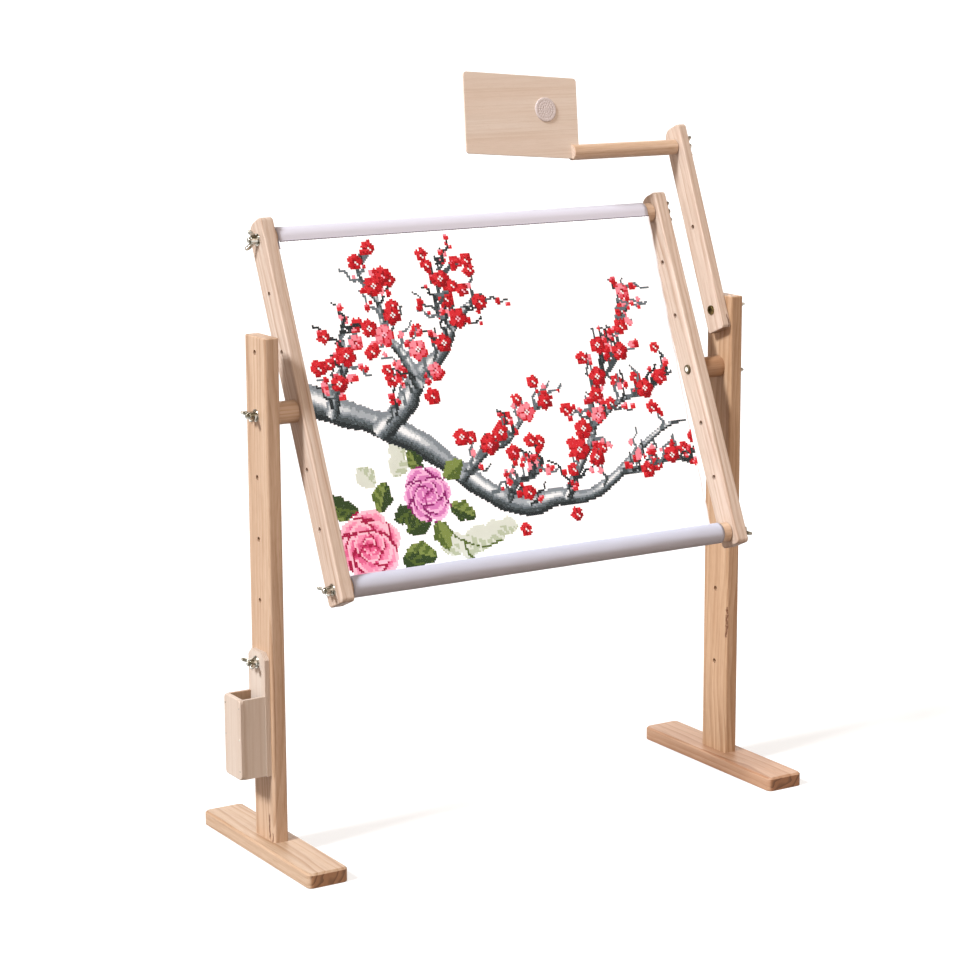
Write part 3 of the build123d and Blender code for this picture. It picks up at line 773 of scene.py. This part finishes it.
def branch(points, names=BARK, lumps=0.0, count=160, gloss=0.0):
    """Limb of varying thickness: dark along its lower edge, with long pale streaks of bark along its top."""
    line = curve(np.array(points) * DRAWN, count)
    gap = np.hypot(XX[..., None] - line[:, 0], YY[..., None] - line[:, 1])
    near = gap.argmin(-1)
    far = np.take_along_axis(gap, near[..., None], -1)[..., 0]
    radius = line[near, 2]
    if lumps:
        radius = radius * (1 + lumps * np.sin(near * 0.35) * np.sin(near * 0.13 + 1.0))
    step = np.gradient(line[:, :2], axis=0)
    step /= np.maximum(np.hypot(step[:, 0], step[:, 1]), 1e-6)[:, None]
    across = (YY - line[near, 1]) * step[near, 0] - (XX - line[near, 0]) * step[near, 1]
    lift = across / np.maximum(radius, 0.8) * np.where(step[near, 0] >= -0.15, 1.0, -1.0)
    streak = np.sin(near * 0.16 + line[near, 0] * 0.05) * 0.5 + 0.5
    light = np.exp(-((lift - 0.25) / 0.38) ** 2) * (0.30 + gloss * streak)
    value = 0.30 + 0.16 * lift + light + 0.025 * GRAIN
    value = np.where(lift < -0.62, 0.08 + 0.03 * GRAIN, value)
    value = np.where(radius < 1.3, 0.20 + 0.05 * GRAIN, value)
    shade(far <= np.maximum(radius, 0.56), value, names)
    return line / DRAWN


def blossom(x, y, r, turn=0.0, names=("wine", "red", "scarlet"), heart="snow"):
    """Five joined round petals with darker folds between them, and a few pale stamens about a dark heart."""
    x, y, r = x * DRAWN, y * DRAWN, r * DRAWN
    out = np.hypot(XX - x, YY - y) / r
    lobe = np.abs(np.cos(2.5 * (np.arctan2(YY - y, XX - x) - turn)))
    value = 0.72 - 0.55 * (lobe < 0.30) * (out > 0.28) + 0.34 * (YY - y - XX + x) / r - 0.36 * (out > 0.88) + 0.05 * GRAIN
    shade(out <= 0.74 + 0.30 * lobe**0.6, value, names)
    put(out <= 0.24, "wine")
    spots = ((1, 0), (-1, 0), (0, 1), (0, -1)) if r > 4.6 else ((0, 0), (1, -1))
    for step_x, step_y in spots:
        sx, sy = int(round(x)) + step_x, int(round(y)) + step_y
        if r > 3.2 and 0 <= sx < COLS and 0 <= sy < ROWS:
            art[sy, sx] = NAMES.index(heart)


def bud(x, y, r, names=("wine", "red", "rose")):
    x, y, r = x * DRAWN, y * DRAWN, r * DRAWN
    d = np.hypot(XX - x, (YY - y) * 0.9)
    value = 0.55 + 0.28 * (YY - y) / max(r, 1) - 0.12 * (XX - x) / max(r, 1)
    shade(d <= r, value, names)


def along_and_across(x, y, a):
    """Each cell's place along and across a line that leaves (x, y) at angle a."""
    dx, dy = XX - x, YY - y
    return dx * math.cos(a) + dy * math.sin(a), -dx * math.sin(a) + dy * math.cos(a)


def petal(cx, cy, a, size, names, fold):
    """Broad cupped petal: deep at its base, pale along its rim, with a soft fold, over a shadow on what lies below."""
    u, v = along_and_across(cx, cy, a)
    u, v = u / size, v / (1.2 * size)
    edge = np.hypot(u, v) / (1 + 0.06 * np.cos(3.0 * np.arctan2(v, u) + fold))
    put((edge < 1.16) & (edge >= 1.0) & (art >= 0) & (u < 0.9), names[0])
    value = 0.50 + 0.40 * u - 0.24 * np.exp(-(((v - 0.35 * fold) / 0.16) ** 2)) * (u < 0.6) + 0.02 * GRAIN
    value = np.where((edge > 0.80) & (u > -0.1), 0.93, value)
    shade(edge <= 1.0, np.clip(value, 0.05, 0.999), names)


def peony(x, y, r, turn, names):
    """Full flower built from the outside in: five wide petals, four cupped ones, three closed ones and a heart."""
    x, y, r = x * DRAWN, y * DRAWN, r * DRAWN
    for reach, size, count, start in ((0.56, 0.44, 6, 0.0), (0.36, 0.38, 5, 0.6), (0.20, 0.27, 3, 0.2), (0.08, 0.16, 2, 1.1)):
        for k in range(count):
            a = turn + start + k * 2 * math.pi / count
            grown = size * (1 + 0.10 * math.sin(2.1 * k + 3 * start))
            petal(x + reach * r * math.cos(a), y + reach * r * math.sin(a), a, grown * r, names, math.sin(k * 1.9 + start))
    put(np.hypot(XX - x, YY - y) < 0.06 * r, names[0])


def leaf(x, y, a, length, width, names=("forest", "olive", "moss"), teeth=0.0):
    """Pointed leaf with a pale midrib and side veins, toothed when teeth is above 0."""
    x, y, length, width = x * DRAWN, y * DRAWN, length * DRAWN, width * DRAWN
    u, v = along_and_across(x, y, a)
    u, v = u / length, v / width
    half = np.sin(np.clip(u, 0, 1) * math.pi) ** 0.8 * (1 + teeth * np.sin(u * 16))
    mask = (u > 0) & (u < 1) & (np.abs(v) < half)
    value = 0.40 + 0.24 * np.sign(v) + 0.16 * np.sin(u * 20 - np.abs(v) * 5) + 0.04 * GRAIN
    shade(mask, value, names)
    put(mask & (np.abs(v) * width < 0.5) & (u < 0.9), names[-1])


BUD_TONES = (("wine", "red", "rose"), ("red", "scarlet", "blush"), ("wine", "red", "scarlet"), ("rose", "blush", "blush"))


def twig(x, y, a, length, bend, buds=2, flower=0.0):
    """Thin shoot with buds and sometimes a blossom at its tip."""

    def spot(t, side):
        heading = a + bend * t
        return (x + length * t * math.cos(heading) - side * math.sin(a),
                y + length * t * math.sin(heading) + side * math.cos(a))
    points = [spot(i / 4, 0.8 * (-1) ** i) + (0.8 - 0.35 * i / 4,) for i in range(5)]
    branch(points, random.choice((("ink", "charcoal"), ("charcoal", "slate"), ("slate", "steel"))), count=40)
    for i in range(buds):
        t = 0.35 + 0.65 * random.random()
        side = random.choice((-1, 1)) * random.uniform(0.8, 2.0)
        names = random.choice(BUD_TONES)
        bud(*spot(t, side), random.uniform(0.9, 1.8), names)
    if flower:
        blossom(points[-1][0], points[-1][1], flower, random.uniform(0, 6))


def draw_picture():
    """Generic blossom branch with two peonies: drawn from listed curves, with seeded twigs and buds."""
    pale = ("sage", "dew", "dew", "dew")
    for x, y, a, size in ((52, 10, 0.3, 14), (64, 4, 1.2, 13), (66, 16, -0.4, 15), (76, 12, 0.5, 13), (40, 52, 1.8, 11),
                          (24, 42, 2.2, 12), (34, 46, 0.9, 12), (84, 18, -0.2, 10)):
        leaf(x, y, a, size, size * 0.42, pale)
    trunk = branch([(-4, 86, 6.4), (12, 78, 6.6), (30, 71, 6.0), (50, 60, 6.0), (67, 46, 5.2), (83, 33, 4.8), (100, 25, 5.4),
                    (118, 27, 4.0), (136, 26, 3.2), (154, 34, 2.5), (171, 46, 1.8), (186, 54, 1.2), (198, 56, 0.6)],
                   lumps=0.14, gloss=0.34)
    limbs = [
        trunk,
        branch([(34, 68, 5.2), (47, 77, 5.2), (57, 90, 4.4), (70, 99, 3.6), (79, 111, 2.8), (89, 120, 1.8), (98, 125, 0.7)],
               lumps=0.12, gloss=0.32),
        branch([(56, 87, 3.2), (51, 100, 2.6), (44, 111, 2.0), (43, 125, 1.4), (36, 139, 0.8), (38, 148, 0.5)], gloss=0.3),
        branch([(10, 78, 3.6), (14, 90, 2.5), (22, 100, 1.7), (21, 111, 1.1), (26, 120, 0.6)], gloss=0.3),
        branch([(70, 42, 2.8), (84, 52, 2.2), (97, 56, 1.7), (110, 67, 1.1), (123, 71, 0.6)], gloss=0.3),
        branch([(124, 27, 2.6), (134, 41, 2.1), (144, 54, 1.8), (147, 71, 1.4), (156, 87, 1.0), (155, 104, 0.6)], gloss=0.3),
        branch([(144, 57, 1.5), (162, 68, 1.2), (179, 72, 1.0), (195, 80, 0.6)]),
        branch([(156, 35, 1.5), (170, 34, 1.1), (185, 38, 0.8), (196, 35, 0.5)]),
        branch([(151, 77, 1.2), (166, 90, 0.9), (170, 109, 0.7), (177, 127, 0.5)]),
        branch([(79, 110, 1.4), (73, 122, 1.0), (78, 134, 0.7), (77, 145, 0.5)]),
        branch([(92, 29, 2.0), (98, 36, 1.3), (108, 38, 0.8), (114, 44, 0.5)]),
    ]
    for number, line in enumerate(limbs):
        for i in range(6, len(line) - 1, 11 if number else 15):
            x, y, r = line[i]
            ahead = line[min(i + 2, len(line) - 1)] - line[i - 2]
            heading = math.atan2(ahead[1], ahead[0])
            if number == 0 and x < 78:
                continue
            turn = random.choice((-1, 1)) * random.uniform(0.5, 1.2)
            if math.sin(heading + turn) < -0.2:
                turn = -turn
            twig(x, y, heading + turn, random.uniform(8, 17), random.uniform(-0.5, 0.5), random.randint(1, 3),
                 random.choice((0, 0, 0, random.uniform(2.8, 3.6))))
    flowers = [(43, 110, 5.2), (49, 119, 4.6), (36, 114, 4.2), (42, 133, 4.8), (48, 138, 4.0), (35, 145, 3.8), (59, 102, 5.0),
               (73, 104, 4.4), (83, 115, 4.8), (96, 122, 4.0), (78, 134, 4.2), (22, 102, 4.8), (28, 108, 3.8), (16, 90, 4.2),
               (7, 98, 4.0), (73, 60, 4.2), (87, 55, 5.0), (94, 60, 4.2), (110, 68, 4.6), (121, 72, 4.0), (99, 50, 3.8),
               (135, 48, 5.4), (144, 43, 4.4), (139, 57, 4.8), (149, 63, 4.2), (153, 81, 4.8), (156, 96, 4.2), (150, 73, 3.8),
               (168, 92, 4.6), (171, 104, 4.0), (176, 121, 3.8), (178, 73, 4.8), (188, 78, 4.0), (171, 34, 4.0), (186, 40, 4.4),
               (62, 80, 4.0), (66, 92, 3.6), (127, 18, 3.4), (98, 14, 3.2), (12, 112, 3.4), (88, 128, 3.4), (70, 146, 3.2)]
    reds = (("wine", "red", "scarlet"), ("wine", "red", "red", "scarlet"), ("wine", "wine", "red", "scarlet"))
    pinks = ("red", "rose", "blush")
    for i, (x, y, r) in enumerate(flowers):
        blossom(x, y, r, i * 0.77, reds[(i * 5) % 3] if i % 6 else pinks, "snow" if i % 4 else "pearl")
    dark, mid, bright = ("forest", "forest", "olive"), ("forest", "olive", "moss"), ("olive", "moss", "moss")
    leaves = [(8, 29, 2.3, 17, 5.5, mid), (2, 12, 1.7, 14, 5, bright), (34, 12, -0.3, 16, 5.5, mid), (36, 20, 0.4, 15, 5, dark),
              (32, 10, -0.7, 12, 5, dark), (24, 30, 1.2, 15, 5, mid), (60, 42, 0.6, 13, 4.5, bright),
              (60, 30, -0.5, 15, 4.5, mid), (42, 30, 3.5, 12, 4.5, dark), (52, 24, -1.3, 15, 4.5, bright),
              (49, 46, 2.0, 12, 4, mid), (14, 32, 2.9, 12, 4, dark)]
    for x, y, a, size, width, names in leaves:
        leaf(x, y, a, size, width, names, 0.12)
    for points in ([(56, 22, 0.6), (62, 14, 0.6), (74, 9, 0.6), (84, 11, 0.5)], [(64, 13, 0.6), (66, 6, 0.5), (72, 2, 0.5)]):
        branch(points, ("olive", "moss"), count=30)
    peony(16, 16, 16, 0.3, ("crimson", "cerise", "pink", "shell", "pearl"))
    peony(50, 36, 12.5, 1.1, ("mulberry", "magenta", "lilac", "lilac", "petal"))


def add_stitches():
    """One raised cross per painted cell on the front, and short straight backs behind, grouped by subject."""
    half, gap = 0.34 * math.sqrt(0.5), 0.05
    base, low, tops = 0.27 * MM, 0.30 * MM, (0.52 * MM, 0.66 * MM)
    template = [(0.0, 0.0, base), (1.0, 0.0, base), (1.0, 1.0, base), (0.0, 1.0, base)]
    quads = [(0, 1, 2, 3)]
    for k, top in enumerate(tops):
        ends = ((gap, gap), (1 - gap, 1 - gap)) if k == 0 else ((1 - gap, gap), (gap, 1 - gap))
        side = (half, -half) if k == 0 else (half, half)
        o = len(template)
        for end in ends:
            template += [(end[0] - side[0], end[1] - side[1], low), (end[0] * 0.9 + 0.05, end[1] * 0.9 + 0.05, top),
                         (end[0] + side[0], end[1] + side[1], low)]
        quads += [(o, o + 1, o + 4, o + 3), (o + 1, o + 2, o + 5, o + 4)]
    template = np.array(template)
    made = []
    for group, colours in THREADS.items():
        materials = [thread(name, colour) for name, colour in colours.items()]
        wanted = [NAMES.index(name) for name in colours]
        ys, xs = np.nonzero(np.isin(art, wanted))
        jitter = rng.normal(0, 0.006, (len(xs), 1, 2))
        u = xs[:, None] + template[None, :, 0] + jitter[..., 0]
        v = ys[:, None] + template[None, :, 1] + jitter[..., 1]
        n = np.broadcast_to(template[None, :, 2], u.shape)
        points = sheet_points(ART_X + u * CELL, ART_S + v * CELL, n).reshape(-1, 3)
        faces = (np.arange(len(xs))[:, None, None] * len(template) + np.array(quads)[None]).reshape(-1, 4)
        slots = np.repeat([wanted.index(art[y, x]) for y, x in zip(ys, xs)], len(quads))
        made.append(piece(group + "_stitches", points, faces, materials, "frame", smooth=False, indices=slots))
        made.append(add_backs(group + "_backs", materials, wanted))
    return made


def add_backs(name, materials, wanted):
    """Vertical thread runs on the back of the cloth, one strip per run of a colour."""
    spots, faces, slots = [], [], []
    for col in range(COLS):
        column = art[:, col]
        row = 0
        while row < ROWS:
            end = row
            while end + 1 < ROWS and column[end + 1] == column[row]:
                end += 1
            if column[row] in wanted:
                o = len(spots)
                spots += [(col + u, v, n * MM) for v in (row + 0.03, end + 0.97)
                          for u, n in ((0.10, -0.27), (0.5, -0.45), (0.90, -0.27))]
                faces += [(o + 3, o + 4, o + 1, o), (o + 4, o + 5, o + 2, o + 1)]
                slots += [wanted.index(column[row])] * 2
            row = end + 1
    u, v, n = np.array(spots).T
    points = sheet_points(ART_X + u * CELL, ART_S + v * CELL, n)
    return piece(name, points, faces, materials, "frame", smooth=False, indices=slots)


# ---------------------------------------------------------------- wing nuts and bolt ends

NUT_TURNS = {
    "left_pivot_nut": 16, "right_pivot_nut": 35, "top_left_nut": 112, "top_right_nut": 70, "bottom_left_nut": 8,
    "bottom_right_nut": 20, "arm_nut": -30, "chart_nut": 80, "box_nut": 12,
}


def wing_mesh():
    """One wing in the XY plane as a rounded plate, thick at its root and thin at its rim. All in millimetres."""
    ring = np.array([(1.8, 5.6), (3.4, 8.4), (6.6, 12.6), (9.6, 15.6), (12.4, 17.2), (15.0, 17.3), (16.8, 16.0), (17.2, 13.9),
                     (16.0, 11.8), (13.4, 9.8), (11.2, 8.0), (10.0, 6.0), (9.4, 4.6), (6.0, 4.4), (3.0, 4.6)])
    centre = np.array([9.2, 9.6])
    half_thick, crown = 1.95, 2.3
    points = []
    for scale, thick in ((1.0, 0.55), (0.93, 1.0), (0.6, 1.18)):
        for x, y in centre + (ring - centre) * scale:
            points.append((x, y, half_thick * thick * (1.0 + 0.35 * max(0.0, 1 - (y - 4.5) / 6.0))))
    count, top = len(ring), len(points)
    points.append((*centre, crown))
    faces = grid_faces(3, count, wrap=True) + [(2 * count + j, 2 * count + (j + 1) % count, top) for j in range(count)]
    half = len(points)
    points += [(x, y, -z) for x, y, z in points]
    faces += flipped(faces, half)
    faces += [((j + 1) % count, j, j + half, (j + 1) % count + half) for j in range(count)]
    return points, faces


def nut_parts():
    """Vertices and faces of a wing nut seated at x = 0, in metres."""
    profile = [(0.0, 4.1), (0.0, 7.3), (0.35, 7.7), (1.6, 7.75), (2.3, 7.4), (3.0, 6.9), (9.8, 5.8), (10.7, 5.5), (11.0, 5.0),
               (11.0, 4.35), (10.6, 4.1), (0.0, 4.1)]
    points, faces = lathe(profile, 40)
    wing_points, wing_faces = wing_mesh()
    for flip in (1, -1):
        offset = len(points)
        points += [(x, y * flip, z * flip) for x, y, z in wing_points]
        faces += [tuple(i + offset for i in f) for f in wing_faces]
    return [(x * MM, y * MM, z * MM) for x, y, z in points], faces


def add_nuts(material):
    """A detailed wing nut in place of each plain one, turned as it is."""
    points, faces = nut_parts()
    for name, turn in NUT_TURNS.items():
        low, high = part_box(name)
        body = body_of(NODES[name])[0]
        axis = next(joint for joint in frame["joints"] if joint["child"] == body)["pos_m"]
        seat = low.x if low.x > 0 else high.x
        place = Matrix.Translation((seat, axis[1], axis[2])) @ Matrix.Rotation(math.radians(turn), 4, "X")
        if low.x <= 0:
            place = place @ Matrix.Rotation(math.pi, 4, "Z")
        item = piece(name + "_cast", [place @ Vector(p) for p in points], faces, material, body)
        mend(item, merge=True)
        modifier = item.modifiers.new("smooth", "SUBSURF")
        modifier.levels = modifier.render_levels = 1
        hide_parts(name)


def add_threads(material):
    """Screw thread on each bolt end that shows past its nut."""
    spots = [("left_pivot_bolt", "frame", -1, PIVOT), ("right_pivot_bolt", "frame", 1, PIVOT),
             ("arm_bolt", "arm", 1, joint_point("arm_swing")), ("box_bolt", "stand", -1, joint_point("box_swing")),
             ("chart_stud", "chart_holder", 1, joint_point("chart_turn"))]
    spots = [(node + "_thread", body, side, axis, node) for node, body, side, axis in spots]
    for label, axis in (("top", TOP_AXIS), ("bottom", LOW_AXIS)):
        for way, side in (("left", -1), ("right", 1)):
            spots.append((f"{label}_{way}_thread", label + "_roller", side, axis, label + "_rod_studs"))
    length, pitch, around = 8.6 * MM, 1.25 * MM, 28
    root, depth, blunt, fade_over, past_tip = 3.98 * MM, 0.34 * MM, 3.6 * MM, 0.7 * MM, 0.15 * MM
    steps = int(length / pitch * 8)
    for name, body, side, axis, node in spots:
        low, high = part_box(node)
        tip = high.x if side > 0 else low.x
        points = []
        for i in range(steps + 1):
            along = i / steps * length
            fade = min(1.0, (length - along) / fade_over)
            for j, a in enumerate(circle(around)):
                wave = abs(((along / pitch - j / around) % 1.0) - 0.5) * 2
                r = (root + depth * wave) * fade + blunt * (1 - fade)
                x = tip + side * (past_tip - length + along)
                points.append((x, axis.y + r * math.cos(a), axis.z + side * r * math.sin(a)))
        faces = grid_faces(steps + 1, around, wrap=True)
        faces += [tuple(reversed(range(around))), tuple(range(steps * around, (steps + 1) * around))]
        mend(piece(name, points, faces, material, body, smooth=False))


# ---------------------------------------------------------------- magnet and brads

def add_magnet():
    """Grey disc with rings of shallow dimples on its face."""
    graph = Graph("grey_magnet")
    speck = graph.noise(graph.place(), 900.0)
    base = graph.mix(graph.span(speck, 0.35, 0.65), srgb(213, 206, 208), srgb(180, 173, 177))
    paint = graph.finish(base, 0.5, speck, 0.1, 0.0002, Specular_IOR_Level=0.4)
    lean, turn = WITH_BOARD[0], math.radians(5.0)
    place = Matrix.Translation(centre_of("chart_magnet")) @ Matrix.Rotation(-lean, 4, "X") @ Matrix.Rotation(turn, 4, "Y")
    rings, around = 34, 120
    radius, half_thick = 19.4 * MM, 1.0 * MM
    dimple_radius, dimple_depth = 1.5 * MM, 0.7 * MM
    points = []
    for i in range(rings + 1):
        r = radius * i / rings
        for a in circle(around):
            lift = half_thick - max(0.0, (r - radius + 0.9 * MM)) * 0.6
            for ring_r, count in ((5.0, 8), (9.5, 14), (14.0, 20)):
                step = 2 * math.pi / count
                off = (a + step / 2) % step - step / 2
                d = math.hypot(r - ring_r * MM, off * ring_r * MM)
                lift -= dimple_depth * max(0.0, 1 - (d / dimple_radius) ** 2)
            points.append((r * math.cos(a), -lift, r * math.sin(a)))
    rim = len(points)
    points += [(radius * math.cos(a), half_thick - 0.05 * MM, radius * math.sin(a)) for a in circle(around)]
    faces = grid_faces(rings + 2, around, wrap=True)
    faces.append(tuple(reversed(range(rim, rim + around))))
    item = piece("chart_magnet_disc", [place @ Vector(q) for q in points], faces, paint, "chart_holder")
    mend(item, merge=True)
    smooth_by_angle(item)
    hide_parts("chart_magnet")


def add_brads(material):
    """Small domed nail heads that hold the tool box's boards."""
    low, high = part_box("box_outer_panel")
    profile = [(0.35, 1.5), (0.0, 1.45), (-0.22, 1.1), (-0.32, 0.55), (-0.35, 0.02)]
    ring, quads = lathe([(a * MM, b * MM) for a, b in profile], 16)
    from_side, from_end = 4.5 * MM, 14 * MM
    points, faces = [], []
    for y in (low.y + from_side, high.y - from_side):
        for z in (low.z + from_end, (low.z + high.z) / 2, high.z - from_end):
            faces += [tuple(i + len(points) for i in q) for q in quads]
            points += [(low.x + px, y + py, z + pz) for px, py, pz in ring]
    mend(piece("box_brads", points, faces, material, "tool_box"))


# ---------------------------------------------------------------- build

add_camera()
ground = add_floor()
add_world()
bpy.context.scene.view_settings.view_transform = "Standard"
steel = finish_nodes()
white = cloth("aida_white", srgb(249, 250, 254), srgb(228, 229, 234), SHEET_MIDDLE, (SHEET_LEAN, 0.0, 0.0))
wound = {"pitch": 0.9 * MM, "strength": 0.12, "sheen": 0.05}
wrap = cloth("cotton_wrap", srgb(199, 202, 218), srgb(187, 189, 207), (0, 0, 0), ALONG_Z, **wound)
# Painted shade: a darker copy of the wrap cloth for the bottom roll and its apron, standing for the shade on the lower
# roll.
low_wrap_painted_shade = cloth("cotton_wrap_low", srgb(181, 187, 205), srgb(167, 173, 193), (0, 0, 0), ALONG_Z, **wound)
sheet = add_sheet(white)
add_roll("top_roll_wound", TOP_AXIS, "top_roller", "top_cloth_roll", wrap, 5)
add_roll("bottom_roll_wound", LOW_AXIS, "bottom_roller", "bottom_cloth_roll", low_wrap_painted_shade, 6)
aprons = [add_apron("top_apron", TOP_AXIS, wrap, True), add_apron("bottom_apron", LOW_AXIS, low_wrap_painted_shade, False)]
# The seam cord is real geometry; its grey thread, darker than the cloth and wrap about it, is painted shade for the
# dark line along the lower edge of the top band.
aprons.append(add_seam("top_seam", SHEET_HALF - SEAM_BELOW_TOP - 0.2 * MM, 0.75 * MM, thread("seam", (118, 112, 122))))
draw_picture()
stitches = add_stitches()
for thin in [sheet] + stitches:
    thin.visible_shadow = False
add_suns(ground, [sheet] + stitches)
add_nuts(steel)
add_threads(steel)
add_magnet()
add_brads(steel)
for node in NODES.values():
    smooth_by_angle(node, 40)
